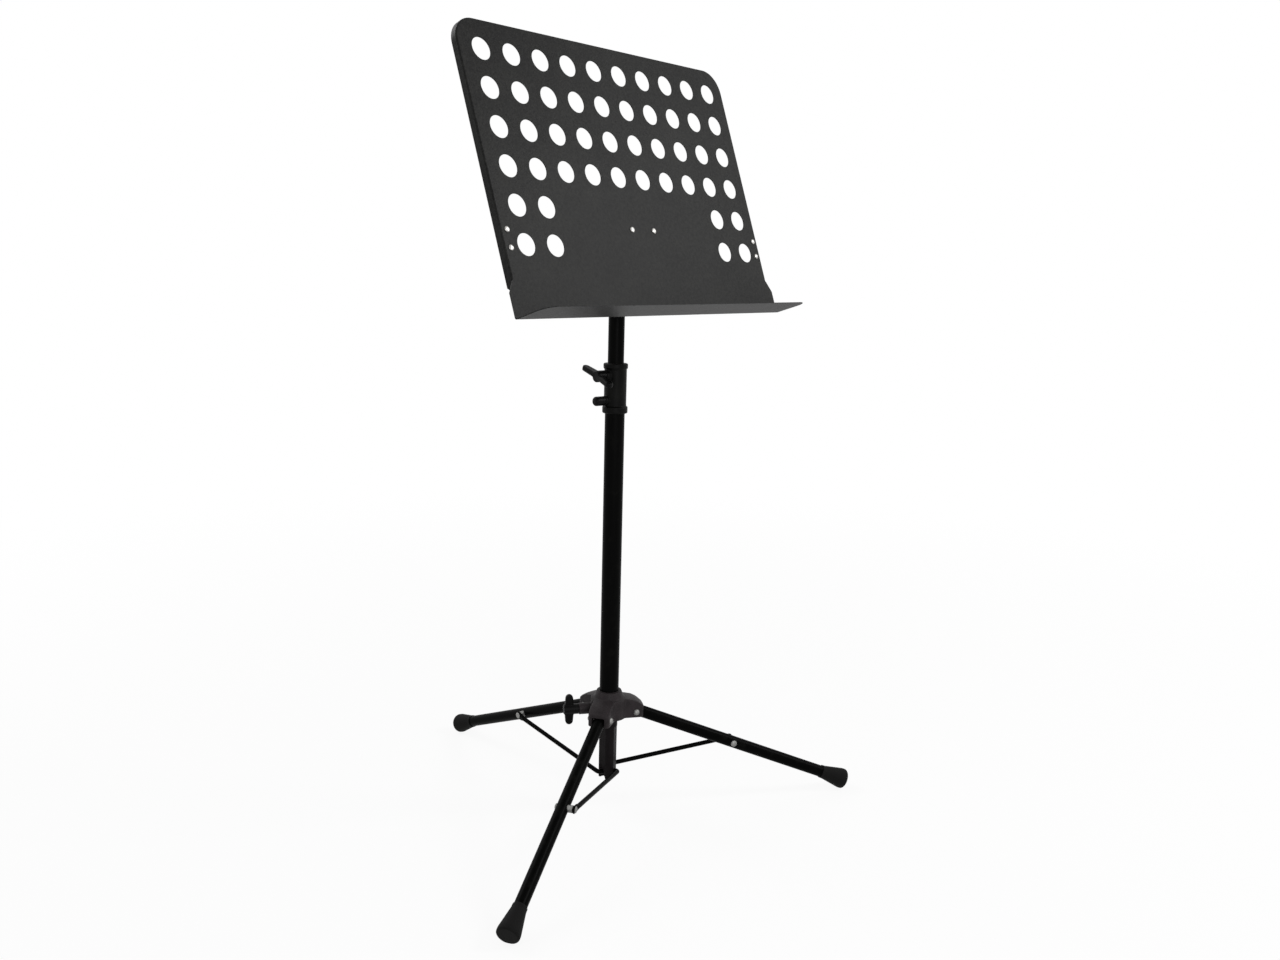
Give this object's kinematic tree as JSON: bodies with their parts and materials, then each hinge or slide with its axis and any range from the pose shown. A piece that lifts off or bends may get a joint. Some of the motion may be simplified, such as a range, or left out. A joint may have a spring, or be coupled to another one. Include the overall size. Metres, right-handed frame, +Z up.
{
  "type": "music stand",
  "caption": "Folding orchestral music stand: perforated sheet-steel desk with a ledge on a telescopic post over a folding braced tripod.",
  "frame": {"origin": "on the axis of the post at floor level", "axes": "+Z up along the post, +X along the width of the desk, -Y towards the reader in front of the desk"},
  "size_m": [0.6105, 0.5607, 0.9885],
  "materials": {
    "desk_enamel": "satin dark grey powder coat",
    "bracket_enamel": "satin black paint",
    "tube_enamel": "semi-gloss black powder coat",
    "strut_steel": "black painted wire",
    "bright_rivet": "nickel plated",
    "zinc_steel": "zinc plated",
    "foot_rubber": "matt moulded rubber",
    "hub_plastic": "fine moulded grain",
    "collar_plastic": "fine moulded grain",
    "anchor_plastic": "fine moulded grain",
    "knob_plastic": "satin moulded",
    "inner_nylon": "plain moulded"
  },
  "bodies": {
    "hub": {"hub_casting": "hub_plastic", "leg_pivot_rivets": "bright_rivet", "hub_bush": "inner_nylon", "hub_clamp_pad": "inner_nylon"},
    "hub_knob": {"hub_screw": "zinc_steel", "hub_wing_knob": "knob_plastic"},
    "post": {"lower_tube": "tube_enamel", "clamp_collar": "collar_plastic", "guide_sleeve": "inner_nylon", "brace_anchor": "anchor_plastic"},
    "collar_knob": {"collar_screw": "zinc_steel", "collar_wing_knob": "knob_plastic"},
    "tension_knob": {"tension_screw": "zinc_steel", "tension_knob": "knob_plastic"},
    "guide": {"guide_plug": "inner_nylon"},
    "riser": {"upper_tube": "tube_enamel", "post_head": "bracket_enamel", "head_pin": "bright_rivet"},
    "desk": {"desk_panel": "desk_enamel", "tilt_bracket": "bracket_enamel", "bracket_rivets": "bright_rivet", "side_rivets": "bright_rivet", "tilt_bolt": "zinc_steel", "tilt_washer": "zinc_steel"},
    "tilt_knob": {"tilt_wing_knob": "knob_plastic"},
    "leg_front": {"leg_tube_front": "tube_enamel", "leg_plug_front": "inner_nylon", "foot_front": "foot_rubber", "strut_rivet_front": "bright_rivet", "strut_spacer_front": "bright_rivet"},
    "strut_front": {"brace_strut_front": "strut_steel"},
    "leg_right": {"leg_tube_right": "tube_enamel", "leg_plug_right": "inner_nylon", "foot_right": "foot_rubber", "strut_rivet_right": "bright_rivet", "strut_spacer_right": "bright_rivet"},
    "strut_right": {"brace_strut_right": "strut_steel"},
    "leg_left": {"leg_tube_left": "tube_enamel", "leg_plug_left": "inner_nylon", "foot_left": "foot_rubber", "strut_rivet_left": "bright_rivet", "strut_spacer_left": "bright_rivet"},
    "strut_left": {"brace_strut_left": "strut_steel"}
  },
  "joints": [
    {"name": "fold", "type": "slide", "parent": "hub", "child": "post", "axis": [0, 0, -1], "range_m": [0, 0.2423]},
    {"name": "hub_knob_turn", "type": "hinge", "parent": "hub", "child": "hub_knob", "pos_m": [-0.04065, 0.02911, 0.14424], "axis": [-0.8131, 0.5821, 0], "range_deg": [-90, 270]},
    {"name": "collar_knob_turn", "type": "hinge", "parent": "post", "child": "collar_knob", "pos_m": [-0.02462, 0.00434, 0.5883], "axis": [-0.9848, 0.1736, 0], "range_deg": [-38, 82]},
    {"name": "tension_knob_turn", "type": "hinge", "parent": "post", "child": "tension_knob", "pos_m": [-0.02167, 0.00382, 0.5569], "axis": [-0.9848, 0.1736, 0], "range_deg": [-90, 270]},
    {"name": "height", "type": "slide", "parent": "post", "child": "guide", "axis": [0, 0, 1], "range_m": [0, 0.38]},
    {"name": "swivel", "type": "hinge", "parent": "guide", "child": "riser", "pos_m": [0, 0, 0.17], "axis": [0, 0, 1], "continuous": true},
    {"name": "tilt", "type": "hinge", "parent": "riser", "child": "desk", "pos_m": [0, 0, 0.7543], "axis": [-1, 0, 0], "range_deg": [-19, 65]},
    {"name": "tilt_knob_turn", "type": "hinge", "parent": "desk", "child": "tilt_knob", "pos_m": [0.02, 0, 0.7543], "axis": [1, 0, 0], "range_deg": [-90, 270]},
    {"name": "leg_front_fold", "type": "hinge", "parent": "hub", "child": "leg_front", "pos_m": [-0.03187, -0.01446, 0.13924], "axis": [0.4131, -0.9107, 0], "range_deg": [0, 67.62]},
    {"name": "strut_front_fold", "type": "hinge", "parent": "leg_front", "child": "strut_front", "pos_m": [-0.16027, -0.0727, 0.08113], "axis": [-0.4131, 0.9107, 0], "range_deg": [0, 137.7]},
    {"name": "leg_right_fold", "type": "hinge", "parent": "hub", "child": "leg_right", "pos_m": [0.02846, -0.02037, 0.13924], "axis": [0.5821, 0.8131, 0], "range_deg": [0, 67.62]},
    {"name": "strut_right_fold", "type": "hinge", "parent": "leg_right", "child": "strut_right", "pos_m": [0.1431, -0.10245, 0.08113], "axis": [-0.5821, -0.8131, 0], "range_deg": [0, 137.7]},
    {"name": "leg_left_fold", "type": "hinge", "parent": "hub", "child": "leg_left", "pos_m": [0.00342, 0.03483, 0.13924], "axis": [-0.9952, 0.0976, 0], "range_deg": [0, 67.62]},
    {"name": "strut_left_fold", "type": "hinge", "parent": "leg_left", "child": "strut_left", "pos_m": [0.01717, 0.17515, 0.08113], "axis": [0.9952, -0.0976, 0], "range_deg": [0, 137.7]}
  ],
  "couplings": [
    {"joint": "leg_front_fold", "follows": "fold", "rad_per_m": 4.8693},
    {"joint": "strut_front_fold", "follows": "fold", "rad_per_m": 9.9156},
    {"joint": "leg_right_fold", "follows": "fold", "rad_per_m": 4.8693},
    {"joint": "strut_right_fold", "follows": "fold", "rad_per_m": 9.9156},
    {"joint": "leg_left_fold", "follows": "fold", "rad_per_m": 4.8693},
    {"joint": "strut_left_fold", "follows": "fold", "rad_per_m": 9.9156}
  ]
}
